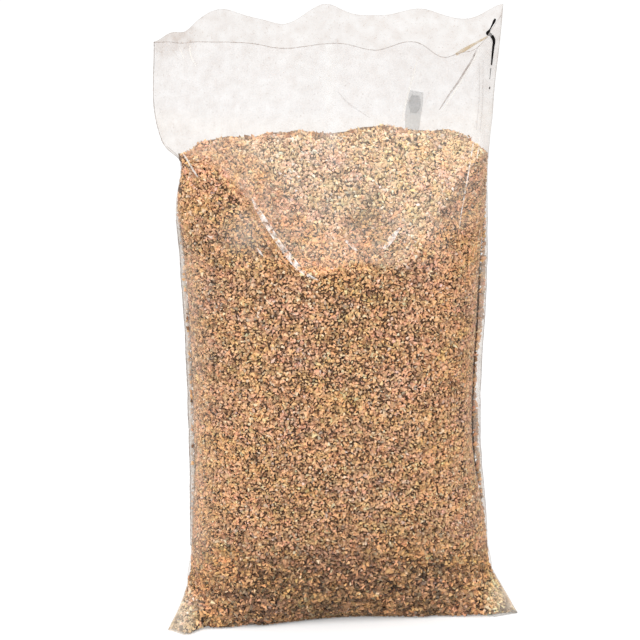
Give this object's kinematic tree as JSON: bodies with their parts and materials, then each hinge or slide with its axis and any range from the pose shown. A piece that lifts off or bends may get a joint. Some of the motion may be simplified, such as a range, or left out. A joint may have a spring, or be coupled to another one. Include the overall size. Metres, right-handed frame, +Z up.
{
  "type": "bag of smoking chips",
  "caption": "Tall clear plastic sack standing open, filled about four fifths with coarse tan wood chips for smoking food.",
  "frame": {"origin": "centre of the bounding box on the floor that the sack stands on", "axes": "+Z up, the sack's front looks toward -Y, its width runs along X"},
  "size_m": [0.6038, 0.2264, 1.045],
  "materials": {
    "clear_film": "clear, glossy, creased",
    "wood_chips": "raw, matte"
  },
  "bodies": {
    "root": {"film_bag": "clear_film", "chip_fill": "wood_chips"}
  },
  "joints": []
}
